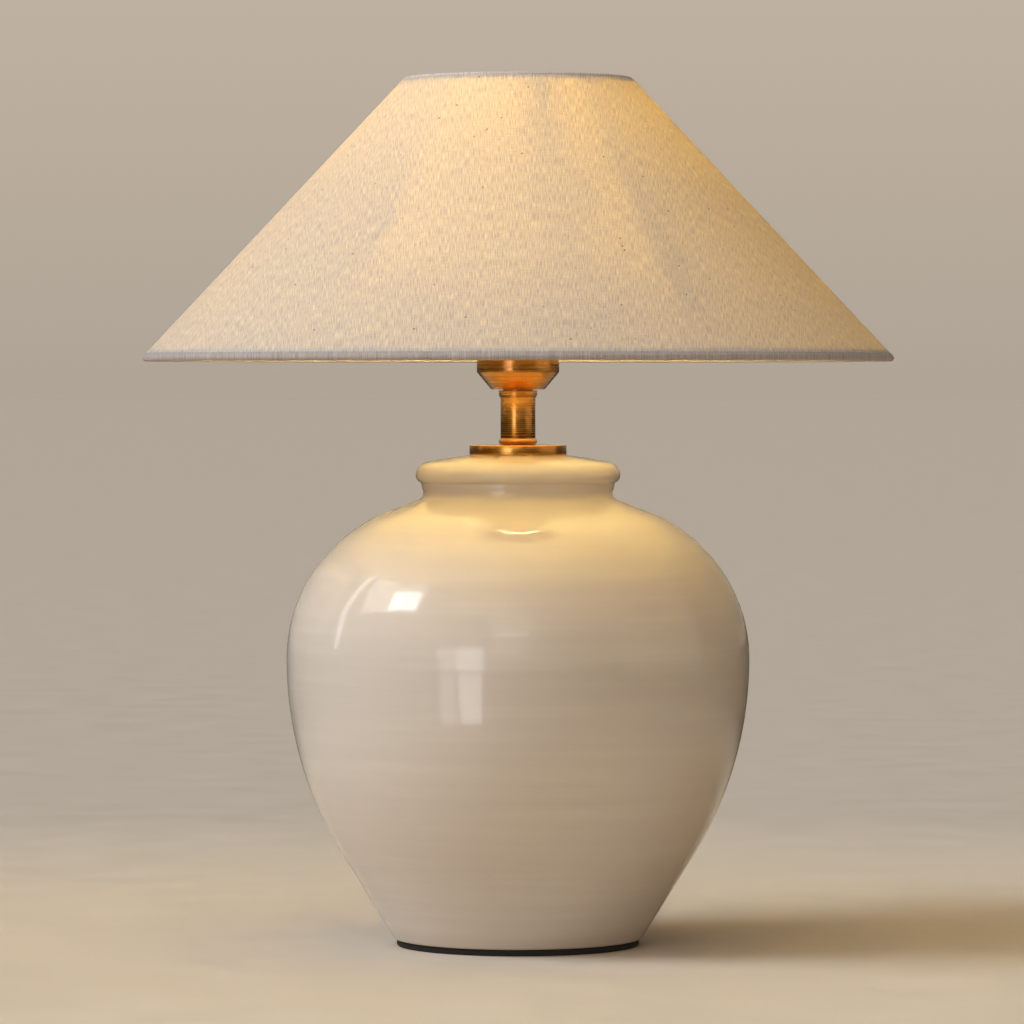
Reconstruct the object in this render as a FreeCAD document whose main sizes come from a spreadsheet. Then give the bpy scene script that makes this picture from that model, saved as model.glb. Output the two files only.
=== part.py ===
import FreeCAD, Part
import math
import os
import re

import Sketcher

# Ginger jar table lamp: a glazed ceramic jar with its lid moulded in one, a turned brass stack on top, a
# screw lampholder with a lamp in it, and a linen cone shade on a dropped three-arm spider.
# Millimetres, +Z up. The origin is the middle of the foot, on the table. The front faces -Y.

SIZES = {
    # Clearances
    "seat_gap": 0.3,
    "running_gap": 0.1,
    "glue_gap": 0.05,
    "cut_margin": 2.0,
    # Foot pad and jar. Heights in this block are above the jar's foot.
    "pad_thickness": 3.8,
    "jar_height": 291.3,
    "belly_radius": 139.3,
    "belly_height": 168.5,
    "belly_round": 225.0,
    "shoulder_round": 95.0,
    "shoulder_angle": 68.6,
    "flare_angle": 31.7,
    "foot_round": 3.0,
    "neck_radius": 56.9,
    "neck_round": 4.5,
    "neck_turn": 35.0,
    "lip_radius": 61.6,
    "lip_drop": 12.1,
    "lip_under_round": 5.0,
    "lip_under_turn": 70.0,
    "lip_over_round": 8.0,
    "dome_tilt": 12.0,
    "dome_round": 250.0,
    "jar_wall": 6.5,
    "jar_floor": 8.0,
    "floor_hole_radius": 40.0,
    "dome_wall": 7.0,
    "cavity_corner": 8.0,
    # Cord bushing in the back of the jar
    "bushing_height": 30.0,
    "bushing_radius": 5.0,
    "bushing_bore": 3.1,
    "bushing_flange_radius": 8.0,
    "bushing_flange": 2.0,
    "bushing_snap_radius": 6.5,
    "bushing_snap": 1.5,
    "bushing_hole_depth": 19.5,
    # Hollow threaded rod and its fastenings under the jar's dome
    "rod_radius": 5.0,
    "rod_bore": 4.0,
    "rod_hole_radius": 6.0,
    "rod_end": 4.0,
    "rubber_radius": 24.0,
    "rubber_thickness": 2.0,
    "clamp_radius": 26.0,
    "clamp_thickness": 2.0,
    "spring_radius": 8.5,
    "spring_thickness": 1.5,
    "spring_angle": 348.0,
    "nut_flats": 17.0,
    "nut_thickness": 5.0,
    # Brass stack
    "plate_radius": 29.2,
    "plate_thickness": 6.0,
    "plate_chamfer": 0.6,
    "ring_radius": 11.6,
    "foot_ring_height": 4.0,
    "foot_ring_waist": 10.4,
    "stem_radius": 10.5,
    "stem_height": 24.7,
    "top_ring_height": 4.1,
    "groove_width": 0.6,
    "groove_depth": 0.6,
    "cup_washer_radius": 9.0,
    "cup_washer_thickness": 0.7,
    "cup_foot_radius": 16.1,
    "cup_foot_round": 1.0,
    "cup_radius": 24.8,
    "cup_cone_height": 10.4,
    "cup_height": 37.4,
    "cup_wall": 1.0,
    # Lampholder
    "holder_radius": 19.6,
    "holder_foot_radius": 12.0,
    "holder_cone_height": 9.4,
    "cap_height": 16.4,
    "cap_wall": 2.0,
    "boss_radius": 9.0,
    "boss_height": 11.4,
    "spigot_height": 6.0,
    "holder_cavity": 17.4,
    "flange_radius": 24.5,
    "flange_thickness": 2.0,
    "skirt_height": 19.7,
    "skirt_bore": 13.5,
    "block_thickness": 6.0,
    "contact_thickness": 0.6,
    "contact_width": 6.0,
    "contact_rise": 3.0,
    "contact_foot": 9.0,
    "contact_crown": 2.5,
    "side_contact_reach": 12.4,
    "side_contact_height": 7.0,
    "screw_place": 9.0,
    "screw_head_radius": 2.8,
    "screw_head": 1.8,
    "screw_radius": 1.5,
    "screw_length": 4.5,
    # Shade. Its wires' centres set its slope.
    "shade_top_radius": 67.2,
    "shade_bottom_radius": 223.6,
    "shade_rise": 166.8,
    "shade_drop": 20.8,
    "top_wire": 1.2,
    "bottom_wire": 1.6,
    "top_hem": 0.5,
    "bottom_hem": 0.8,
    "linen_thickness": 0.5,
    "liner_thickness": 0.45,
    "linen_stand_off": 1.35,
    "fitter_radius": 33.0,
    "fitter_thickness": 2.0,
    "arm_wire": 2.0,
    "arm_start": 26.8,
    "arm_run": 5.0,
    "arm_bend": 9.0,
    "arm_azimuth": -80.0,
    "clamp_ring_radius": 26.0,
    "clamp_ring_collar": 22.5,
    "clamp_ring_flange": 2.2,
    "clamp_ring_height": 7.0,
    # Lamp with a screw cap
    "lamp_length": 105.0,
    "lamp_radius": 30.0,
    "eyelet_radius": 4.2,
    "eyelet_height": 1.7,
    "insulator_radius": 9.0,
    "insulator_height": 3.0,
    "screw_shell_radius": 13.2,
    "screw_shell_wall": 0.5,
    "screw_shell_height": 22.3,
    "screw_shell_cone": 4.0,
    "lamp_neck_radius": 14.8,
    "lamp_neck_height": 5.0,
    "lamp_waist_radius": 22.5,
    "lamp_waist_height": 20.0,
    "lamp_hollow_round": 45.0,
    "lamp_swell_round": 60.0,
    "lamp_body_height": 37.0,
    "lamp_body_inset": 0.5,
    "lamp_wall": 1.6,
    "dome_foot_round": 90.0,
    "board_drop": 3.0,
    "board_thickness": 1.5,
    "board_inset": 4.5,
    "chip_size": 3.0,
    "chip_height": 0.8,
    "chip_circle": 14.0,
    "driver_width": 16.0,
    "driver_thickness": 1.6,
    "driver_height": 26.0,
    # Held lead from the lampholder to the bushing
    "lead_radius": 2.8,
    "lead_straight": 26.0,
}

SCREW_COUNT = 2
ARM_COUNT = 3
CHIP_COUNT = 8
NUT_SIDES = 6

# Corners of the lead's route, as shares of the way out to the bushing and of the drop from the rod's end
LEAD_CORNERS = ((0.0, 0.9), (0.047, 0.636), (0.198, 0.398), (0.431, 0.194))
# Share of the shorter run beside a corner that its bend takes up
LEAD_BEND_SHARE = 0.45

# Places that follow from the sizes. A name may use the names above and in this block.
PLACES = {
    "jar_top": "pad_thickness + jar_height",
    "dome_under": "jar_top - dome_wall",
    "belly_z": "pad_thickness + belly_height",
    "belly_x": "belly_radius - belly_round",
    "side_x": "belly_x + belly_round * cos(flare_angle)",
    "side_z": "belly_z - belly_round * sin(flare_angle)",
    "foot_corner": "side_x - (side_z - pad_thickness) * tan(flare_angle)",
    "foot_trim": "foot_round * tan(45 - flare_angle / 2)",
    "foot_radius": "foot_corner - foot_trim",
    "shoulder_x": "belly_radius - shoulder_round",
    "crown_x": "shoulder_x + shoulder_round * cos(shoulder_angle)",
    "crown_z": "belly_z + shoulder_round * sin(shoulder_angle)",
    "neck_x": "neck_radius + neck_round",
    "neck_fall": "(neck_round - cos(shoulder_angle) * (neck_x - crown_x)) / sin(shoulder_angle)",
    "neck_z": "crown_z + neck_fall",
    "lip_z": "jar_top - lip_drop",
    "bushing_z": "pad_thickness + bushing_height",
    "bushing_y": "side_x - (side_z - bushing_z) * tan(flare_angle)",
    "bushing_snap_z": "0 - jar_wall - seat_gap - glue_gap",
    "bushing_end": "bushing_snap_z - bushing_snap",
    "hole_start": "bushing_hole_depth - jar_wall",
    "rubber_z": "dome_under - rubber_thickness",
    "clamp_z": "rubber_z - clamp_thickness",
    "spring_z": "clamp_z - spring_thickness",
    "nut_z": "spring_z - nut_thickness",
    "rod_z": "nut_z - rod_end",
    "rod_clear": "rod_radius + seat_gap",
    "plate_top": "jar_top + plate_thickness",
    "stem_z": "plate_top + foot_ring_height",
    "top_ring_z": "stem_z + stem_height",
    "groove_z": "top_ring_z + top_ring_height / 2",
    "washer_z": "top_ring_z + top_ring_height",
    "cup_z": "washer_z + cup_washer_thickness",
    "cup_cone_z": "cup_z + cup_cone_height",
    "cup_rim": "cup_z + cup_height",
    "cap_z": "cup_z + cup_wall",
    "cap_cone_z": "cap_z + holder_cone_height",
    "cap_rim": "cap_z + cap_height",
    "boss_z": "cap_z + boss_height",
    "spigot_radius": "holder_cavity - running_gap",
    "spigot_z": "cap_rim + spigot_height",
    "block_top": "spigot_z + block_thickness",
    "flange_z": "cup_rim + seat_gap",
    "fitter_z": "flange_z + flange_thickness",
    "skirt_top": "fitter_z + skirt_height",
    "fitter_bore": "holder_radius + running_gap",
    "fitter_top": "fitter_z + fitter_thickness",
    "arm_z": "fitter_top + arm_wire",
    "shade_z": "fitter_z - shade_drop",
    "shade_top_z": "shade_z + shade_rise",
    "shade_spread": "shade_bottom_radius - shade_top_radius",
    "slant": "sqrt(shade_spread^2 + shade_rise^2)",
    "top_hem_round": "top_wire + glue_gap + top_hem",
    "bottom_hem_round": "bottom_wire + glue_gap + bottom_hem",
    "skin_start": "bottom_hem_round + running_gap",
    "skin_end": "slant - top_hem_round - running_gap",
    "lamp_z": "block_top + contact_rise + seat_gap",
    "insulator_z": "lamp_z + eyelet_height",
    "shell_z": "insulator_z + insulator_height",
    "shell_cone_z": "shell_z + screw_shell_cone",
    "body_z": "shell_z + screw_shell_height",
    "neck_top": "body_z + lamp_neck_height",
    "waist_z": "body_z + lamp_waist_height",
    "body_top": "body_z + lamp_body_height",
    "lamp_top": "lamp_z + lamp_length",
    "equator_z": "lamp_top - lamp_radius",
    "ledge_z": "body_top - board_drop",
    "board_radius": "lamp_radius - board_inset",
    "driver_z": "ledge_z - driver_height",
}

document = FreeCAD.newDocument("GingerJarLamp")
sheet = document.addObject("Spreadsheet::Sheet", "sizes")
for row, (alias, size) in enumerate(SIZES.items(), start=1):
    sheet.set(f"A{row}", alias.replace("_", " "))
    sheet.set(f"B{row}", str(size))
    sheet.setAlias(f"B{row}", alias)
document.recompute()
pieces = []


def bound(text):
    """The expression in text, with places worked out and sizes led to the sheet."""

    def swap(match):
        name = match[0]
        if name in PLACES:
            return f"({bound(PLACES[name])})"
        return f"sizes.{name}" if name in SIZES else name

    return re.sub(r"[a-z][a-z_]*", swap, text)


def value(text):
    """What the expression in text comes to, in millimetres or degrees."""
    return float(meter.evalExpression(bound(text)))


def tie(thing, **properties):
    """Binds properties to expressions. A double underscore stands for a dot."""
    for name, text in properties.items():
        thing.setExpression(name.replace("__", "."), bound(text))


meter = document.addObject("App::FeaturePython", "meter")


def new_body(name):
    """A named body that will be written as one file."""
    body = document.addObject("PartDesign::Body", name)
    body.Label = name
    pieces.append(body)
    return body


def origin_feature(body, role):
    """One of the body's own origin planes or axes."""
    return next(item for item in body.Origin.OriginFeatures if item.Role == role)


def new_sketch(body, plane, along="0", above="0"):
    """An empty sketch on an origin plane of the body, shifted in the plane's first axis and off the plane."""
    sketch = body.newObject("Sketcher::SketchObject", f"{body.Name}_sketch")
    sketch.AttachmentSupport = [(origin_feature(body, plane), "")]
    sketch.MapMode = "FlatFace"
    if along != "0":
        tie(sketch, AttachmentOffset__Base__x=along)
    if above != "0":
        tie(sketch, AttachmentOffset__Base__z=above)
    return sketch


def constrain(sketch, kind, *where, size=None):
    """Adds a constraint, bound to an expression where it has a size."""
    if size is None:
        return sketch.addConstraint(Sketcher.Constraint(kind, *where))
    index = sketch.addConstraint(Sketcher.Constraint(kind, *where, value(size)))
    sketch.setExpression(f"Constraints[{index}]", bound(size))
    return index


def pin(sketch, edge, end, across, up):
    """Holds one end of an edge, or a circle's centre, at a place."""
    for kind, size, axis in (("DistanceX", across, -2), ("DistanceY", up, -1)):
        if abs(value(size)) < 1e-9:
            constrain(sketch, "PointOnObject", edge, end, axis)
        else:
            constrain(sketch, kind, -1, 1, edge, end, size=size)


def arc_between(start, end, radius):
    """The short arc from start to end. Its centre is on the left for a positive radius."""
    chord = end - start
    side = FreeCAD.Vector(-chord.y, chord.x, 0).normalize() * math.copysign(1, radius)
    centre = (start + end) / 2 + side * math.sqrt(max(radius**2 - chord.Length**2 / 4, 0))
    first, last = (start, end) if radius > 0 else (end, start)
    angles = [math.atan2(point.y - centre.y, point.x - centre.x) for point in (first, last)]
    circle = Part.Circle(centre, FreeCAD.Vector(0, 0, 1), abs(radius))
    return Part.ArcOfCircle(circle, *angles)


def draw_outline(sketch, corners):
    """A closed outline of corners (across, up) or (across, up, radius), where the radius bends the edge
    that leaves the corner: plus for a bulge on a counter-clockwise outline, minus for a hollow."""
    points = [FreeCAD.Vector(value(corner[0]), value(corner[1]), 0) for corner in corners]
    ends = []
    for index, corner in enumerate(corners):
        start, end = points[index], points[(index + 1) % len(points)]
        radius = value(corner[2]) if len(corner) == 3 else 0
        edge = arc_between(start, end, radius) if radius else Part.LineSegment(start, end)
        sketch.addGeometry(edge, False)
        ends.append((2, 1) if radius < 0 else (1, 2))
    for index, corner in enumerate(corners):
        following = (index + 1) % len(corners)
        constrain(sketch, "Coincident", index, ends[index][1], following, ends[following][0])
        pin(sketch, index, ends[index][0], corner[0], corner[1])
        if len(corner) == 3:
            constrain(sketch, "Radius", index, size=corner[2].lstrip("-"))


def turn(body, sketch, kind="PartDesign::Revolution", degrees="360"):
    """Revolves a sketch about its own upright axis."""
    feature = body.newObject(kind, f"{body.Name}_turn")
    feature.Profile = sketch
    feature.ReferenceAxis = (sketch, ["V_Axis"])
    tie(feature, Angle=degrees)
    return feature


def turned(name, corners, along="0", degrees="360"):
    """A body turned from an outline of radius and height."""
    body = new_body(name)
    sketch = new_sketch(body, "XZ_Plane", along=along)
    draw_outline(sketch, corners)
    turn(body, sketch, degrees=degrees)
    return body


def disc(name, radius, bottom, thickness, bore=None):
    """A round plate or washer."""
    body = new_body(name)
    sketch = new_sketch(body, "XY_Plane", above=bottom)
    upright = FreeCAD.Vector(0, 0, 1)
    for index, size in enumerate([radius, bore] if bore else [radius]):
        sketch.addGeometry(Part.Circle(FreeCAD.Vector(0, 0, 0), upright, value(size)), False)
        constrain(sketch, "Coincident", index, 3, -1, 1)
        constrain(sketch, "Radius", index, size=size)
    raise_up(body, sketch, thickness)
    return body


def raise_up(body, sketch, length, midplane=False):
    """Pads a sketch."""
    pad = body.newObject("PartDesign::Pad", f"{body.Name}_pad")
    pad.Profile = sketch
    if midplane:
        pad.SideType = "Symmetric"
    tie(pad, Length=length)
    return pad


def strip(name, corners, width):
    """A bent strip of even width, drawn from the front."""
    body = new_body(name)
    sketch = new_sketch(body, "XZ_Plane")
    draw_outline(sketch, corners)
    raise_up(body, sketch, width, midplane=True)
    return body


def repeat_round(body, feature, count):
    """Repeats a feature evenly about the upright axis."""
    pattern = body.newObject("PartDesign::PolarPattern", f"{body.Name}_round")
    pattern.Originals = [feature]
    pattern.Axis = (origin_feature(body, "Z_Axis"), [""])
    pattern.Angle = 360
    pattern.Occurrences = count
    body.Tip = pattern
    return pattern


def wire_ring(name, radius, height, thickness):
    """A closed ring of round wire."""
    ring = document.addObject("Part::Torus", name)
    ring.Label = name
    tie(ring, Radius1=radius, Radius2=thickness, Placement__Base__z=height)
    pieces.append(ring)
    return ring


def rolled_hem(name, radius, height, wire, outer):
    """A fabric tube rolled round a wire ring."""
    body = new_body(name)
    sketch = new_sketch(body, "XZ_Plane")
    centre = FreeCAD.Vector(value(radius), value(height), 0)
    for index, size in enumerate((outer, f"{wire} + glue_gap")):
        sketch.addGeometry(Part.Circle(centre, FreeCAD.Vector(0, 0, 1), value(size)), False)
        pin(sketch, index, 3, radius, height)
        constrain(sketch, "Radius", index, size=size)
    turn(body, sketch)
    return body


def on_slope(along, out):
    """A point of the shade's wall, from the bottom wire's centre: up the slope, and square out from it."""
    across = f"shade_bottom_radius - ({along}) * shade_spread / slant + ({out}) * shade_rise / slant"
    up = f"shade_z + ({along}) * shade_rise / slant + ({out}) * shade_spread / slant"
    return across, up


def shade_skin(name, inner, thickness):
    """One layer of the shade's wall, between the two hems."""
    outer = f"{inner} + {thickness}"
    places = (("skin_start", inner), ("skin_start", outer), ("skin_end", outer), ("skin_end", inner))
    return turned(name, [on_slope(along, out) for along, out in places])


def make_jar():
    """The glazed jar: a solid turned from its outline, hollowed, and drilled for the bushing."""
    body = new_body("jar_body")
    outside = new_sketch(body, "XZ_Plane")
    lip_under = "lip_radius - lip_under_round"
    lip_over = "lip_radius - lip_over_round"
    draw_outline(
        outside,
        [
            ("0", "pad_thickness"),
            ("foot_radius", "pad_thickness", "foot_round"),
            (
                "foot_corner + foot_trim * sin(flare_angle)",
                "pad_thickness + foot_trim * cos(flare_angle)",
            ),
            ("side_x", "side_z", "belly_round"),
            ("belly_radius", "belly_z", "shoulder_round"),
            ("crown_x", "crown_z"),
            (
                "neck_x - neck_round * cos(shoulder_angle)",
                "neck_z - neck_round * sin(shoulder_angle)",
                "-neck_round",
            ),
            ("neck_x - neck_round * cos(neck_turn)", "neck_z + neck_round * sin(neck_turn)"),
            (
                f"{lip_under} + lip_under_round * cos(lip_under_turn)",
                "lip_z - lip_under_round * sin(lip_under_turn)",
                "lip_under_round",
            ),
            ("lip_radius", "lip_z", "lip_over_round"),
            (
                f"{lip_over} + lip_over_round * sin(dome_tilt)",
                "lip_z + lip_over_round * cos(dome_tilt)",
                "dome_round",
            ),
            ("plate_radius", "jar_top"),
            ("0", "jar_top"),
        ],
    )
    turn(body, outside)
    inside = new_sketch(body, "XZ_Plane")
    inner_neck = "neck_radius - jar_wall"
    wall_low = "(jar_floor - jar_wall) * tan(flare_angle) - jar_wall / cos(flare_angle)"
    wall_foot = f"foot_corner + jar_wall * tan(flare_angle) + {wall_low}"
    draw_outline(
        inside,
        [
            ("0", "pad_thickness - cut_margin"),
            ("floor_hole_radius", "pad_thickness - cut_margin"),
            ("floor_hole_radius", "pad_thickness + jar_floor"),
            (wall_foot, "pad_thickness + jar_floor"),
            (
                "side_x - jar_wall * cos(flare_angle)",
                "side_z + jar_wall * sin(flare_angle)",
                "belly_round - jar_wall",
            ),
            ("belly_radius - jar_wall", "belly_z", "shoulder_round - jar_wall"),
            (
                "crown_x - jar_wall * cos(shoulder_angle)",
                "crown_z - jar_wall * sin(shoulder_angle)",
            ),
            (
                "neck_x - (neck_round + jar_wall) * cos(shoulder_angle)",
                "neck_z - (neck_round + jar_wall) * sin(shoulder_angle)",
                "-(neck_round + jar_wall)",
            ),
            (inner_neck, "neck_z"),
            (inner_neck, "dome_under - cavity_corner", "cavity_corner"),
            (f"{inner_neck} - cavity_corner", "dome_under"),
            ("rod_hole_radius", "dome_under"),
            ("rod_hole_radius", "jar_top + cut_margin"),
            ("0", "jar_top + cut_margin"),
        ],
    )
    turn(body, inside, kind="PartDesign::Groove")
    hole = body.newObject("PartDesign::SubtractiveCylinder", "bushing_hole")
    hole.Placement = FreeCAD.Placement(FreeCAD.Vector(), FreeCAD.Rotation(FreeCAD.Vector(-1, 0, 0), 90))
    tie(
        hole,
        Radius="bushing_radius + running_gap",
        Height="bushing_hole_depth",
        Placement__Base__y="bushing_y - hole_start * cos(flare_angle)",
        Placement__Base__z="bushing_z + hole_start * sin(flare_angle)",
        Placement__Rotation__Angle="90 + flare_angle",
    )
    return body


def make_bushing():
    """The cord bushing, turned about its bore and set square to the jar's wall."""
    body = turned(
        "cord_bushing",
        [
            ("bushing_bore", "bushing_end"),
            ("bushing_snap_radius", "bushing_end"),
            ("bushing_snap_radius", "bushing_snap_z"),
            ("bushing_radius", "bushing_snap_z"),
            ("bushing_radius", "glue_gap"),
            ("bushing_flange_radius", "glue_gap"),
            ("bushing_flange_radius", "glue_gap + bushing_flange"),
            ("bushing_bore", "glue_gap + bushing_flange"),
        ],
    )
    body.Placement = FreeCAD.Placement(FreeCAD.Vector(), FreeCAD.Rotation(FreeCAD.Vector(-1, 0, 0), 90))
    tie(
        body,
        Placement__Base__y="bushing_y",
        Placement__Base__z="bushing_z",
        Placement__Rotation__Angle="90 + flare_angle",
    )
    return body


def make_rod_stack():
    """The hollow rod, and what clamps it under the jar's dome."""
    disc("rubber_washer", "rubber_radius", "rubber_z", "rubber_thickness", "rod_clear")
    disc("clamp_washer", "clamp_radius", "clamp_z", "clamp_thickness", "rod_clear")
    turned(
        "spring_washer",
        [
            ("rod_clear", "spring_z"),
            ("spring_radius", "spring_z"),
            ("spring_radius", "spring_z + spring_thickness"),
            ("rod_clear", "spring_z + spring_thickness"),
        ],
        degrees="spring_angle",
    )
    nut = new_body("clamp_nut")
    sketch = new_sketch(nut, "XY_Plane", above="nut_z")
    corner = "nut_flats / sqrt(3)"
    turns = [360 / NUT_SIDES * side for side in range(NUT_SIDES)]
    draw_outline(sketch, [(f"{corner} * cos({angle})", f"{corner} * sin({angle})") for angle in turns])
    bore = Part.Circle(FreeCAD.Vector(0, 0, 0), FreeCAD.Vector(0, 0, 1), value("rod_radius"))
    sketch.addGeometry(bore, False)
    constrain(sketch, "Coincident", NUT_SIDES, 3, -1, 1)
    constrain(sketch, "Radius", NUT_SIDES, size="rod_radius + glue_gap")
    raise_up(nut, sketch, "nut_thickness")
    disc("threaded_rod", "rod_radius", "rod_z", "boss_z - rod_z", "rod_bore")


def make_brass_stack():
    """Plate, stem with its two rings, and cup."""
    turned(
        "cap_plate",
        [
            ("rod_clear", "jar_top"),
            ("plate_radius", "jar_top"),
            ("plate_radius", "plate_top - plate_chamfer"),
            ("plate_radius - plate_chamfer", "plate_top"),
            ("rod_clear", "plate_top"),
        ],
    )
    turned(
        "stem_foot_ring",
        [
            ("rod_clear", "plate_top"),
            ("foot_ring_waist", "plate_top", "foot_ring_height"),
            ("ring_radius", "plate_top + foot_ring_height / 2", "foot_ring_height"),
            ("stem_radius", "stem_z"),
            ("rod_clear", "stem_z"),
        ],
    )
    disc("stem_tube", "stem_radius", "stem_z", "stem_height", "rod_clear")
    turned(
        "stem_top_ring",
        [
            ("rod_clear", "top_ring_z"),
            ("ring_radius", "top_ring_z"),
            ("ring_radius", "groove_z - groove_width / 2"),
            ("ring_radius - groove_depth", "groove_z"),
            ("ring_radius", "groove_z + groove_width / 2"),
            ("ring_radius", "washer_z"),
            ("rod_clear", "washer_z"),
        ],
    )
    disc("cup_washer", "cup_washer_radius", "washer_z", "cup_washer_thickness", "rod_clear")
    turned(
        "socket_cup",
        [
            ("rod_clear", "cup_z"),
            ("cup_foot_radius - cup_foot_round", "cup_z", "cup_foot_round"),
            ("cup_foot_radius", "cup_z + cup_foot_round"),
            ("cup_radius", "cup_cone_z"),
            ("cup_radius", "cup_rim"),
            ("cup_radius - cup_wall", "cup_rim"),
            ("cup_radius - cup_wall", "cup_cone_z"),
            ("cup_foot_radius - cup_wall", "cup_z + cup_wall"),
            ("rod_clear", "cup_z + cup_wall"),
        ],
    )


def make_lampholder():
    """The screw lampholder: cap, threaded skirt, contact block, contacts and terminal screws."""
    turned(
        "holder_cap",
        [
            ("rod_radius + glue_gap", "cap_z"),
            ("holder_foot_radius", "cap_z"),
            ("holder_radius", "cap_cone_z"),
            ("holder_radius", "cap_rim"),
            ("spigot_radius", "cap_rim"),
            ("spigot_radius", "spigot_z"),
            ("spigot_radius - cap_wall", "spigot_z"),
            ("spigot_radius - cap_wall", "cap_cone_z"),
            ("boss_radius + cap_wall", "cap_z + cap_wall"),
            ("boss_radius", "cap_z + cap_wall"),
            ("boss_radius", "boss_z"),
            ("rod_radius + glue_gap", "boss_z"),
        ],
    )
    turned(
        "holder_skirt",
        [
            ("holder_cavity", "cap_rim"),
            ("holder_radius", "cap_rim"),
            ("holder_radius", "flange_z"),
            ("flange_radius", "flange_z"),
            ("flange_radius", "fitter_z"),
            ("holder_radius", "fitter_z"),
            ("holder_radius", "skirt_top"),
            ("skirt_bore", "skirt_top"),
            ("skirt_bore", "block_top"),
            ("holder_cavity", "block_top"),
        ],
    )
    block = disc("contact_block", "spigot_radius", "spigot_z", "block_thickness")
    holes = new_sketch(block, "XY_Plane", above="spigot_z")
    upright = FreeCAD.Vector(0, 0, 1)
    for index, side in enumerate(("screw_place", "-screw_place")):
        centre = FreeCAD.Vector(0, value(side), 0)
        holes.addGeometry(Part.Circle(centre, upright, value("screw_radius")), False)
        pin(holes, index, 3, "0", side)
        constrain(holes, "Radius", index, size="screw_radius + running_gap")
    pocket = block.newObject("PartDesign::Pocket", "screw_holes")
    pocket.Profile = holes
    pocket.Reversed = True
    tie(pocket, Length="screw_length + running_gap")
    spring_top = "block_top + contact_rise"
    spring_bend = "contact_crown + contact_rise"
    strip(
        "centre_contact",
        [
            ("-contact_foot", "block_top"),
            (f"-({spring_bend})", "block_top"),
            ("-contact_crown", f"{spring_top} - contact_thickness"),
            ("contact_crown", f"{spring_top} - contact_thickness"),
            ("contact_crown", spring_top),
            ("-(contact_crown + contact_thickness / 2)", spring_top),
            (f"-({spring_bend} + contact_thickness / 2)", "block_top + contact_thickness"),
            ("-contact_foot", "block_top + contact_thickness"),
        ],
        "contact_width",
    )
    strip(
        "side_contact",
        [
            ("contact_foot", "block_top"),
            ("side_contact_reach + contact_thickness", "block_top"),
            ("side_contact_reach + contact_thickness", "block_top + side_contact_height / 2"),
            ("side_contact_reach", "block_top + side_contact_height / 2"),
            ("side_contact_reach", "block_top + contact_thickness"),
            ("contact_foot", "block_top + contact_thickness"),
        ],
        "contact_width",
    )
    screws = turned(
        "terminal_screws",
        [
            ("0", "spigot_z - screw_head"),
            ("screw_head_radius", "spigot_z - screw_head"),
            ("screw_head_radius", "spigot_z"),
            ("screw_radius", "spigot_z"),
            ("screw_radius", "spigot_z + screw_length"),
            ("0", "spigot_z + screw_length"),
        ],
        along="screw_place",
    )
    repeat_round(screws, screws.Tip, SCREW_COUNT)
    screws.Placement = FreeCAD.Placement(FreeCAD.Vector(), FreeCAD.Rotation(FreeCAD.Vector(0, 0, 1), 90))


def make_shade():
    """The cone shade: two skins, two hemmed wires, and the dropped spider with its clamping ring."""
    shade_skin("linen_cover", "linen_stand_off", "linen_thickness")
    shade_skin("shade_liner", "linen_stand_off - glue_gap - liner_thickness", "liner_thickness")
    wire_ring("top_wire_ring", "shade_top_radius", "shade_top_z", "top_wire")
    wire_ring("bottom_wire_ring", "shade_bottom_radius", "shade_z", "bottom_wire")
    rolled_hem("top_hem_roll", "shade_top_radius", "shade_top_z", "top_wire", "top_hem_round")
    rolled_hem("bottom_hem_roll", "shade_bottom_radius", "shade_z", "bottom_wire", "bottom_hem_round")
    disc("fitter_ring", "fitter_radius", "fitter_z", "fitter_thickness", "fitter_bore")
    make_arms()
    turned(
        "shade_clamp_ring",
        [
            ("fitter_bore", "fitter_top"),
            ("clamp_ring_radius", "fitter_top"),
            ("clamp_ring_radius", "fitter_top + clamp_ring_flange"),
            ("clamp_ring_collar", "fitter_top + clamp_ring_flange"),
            ("clamp_ring_collar", "fitter_top + clamp_ring_height"),
            ("fitter_bore", "fitter_top + clamp_ring_height"),
        ],
    )


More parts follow.
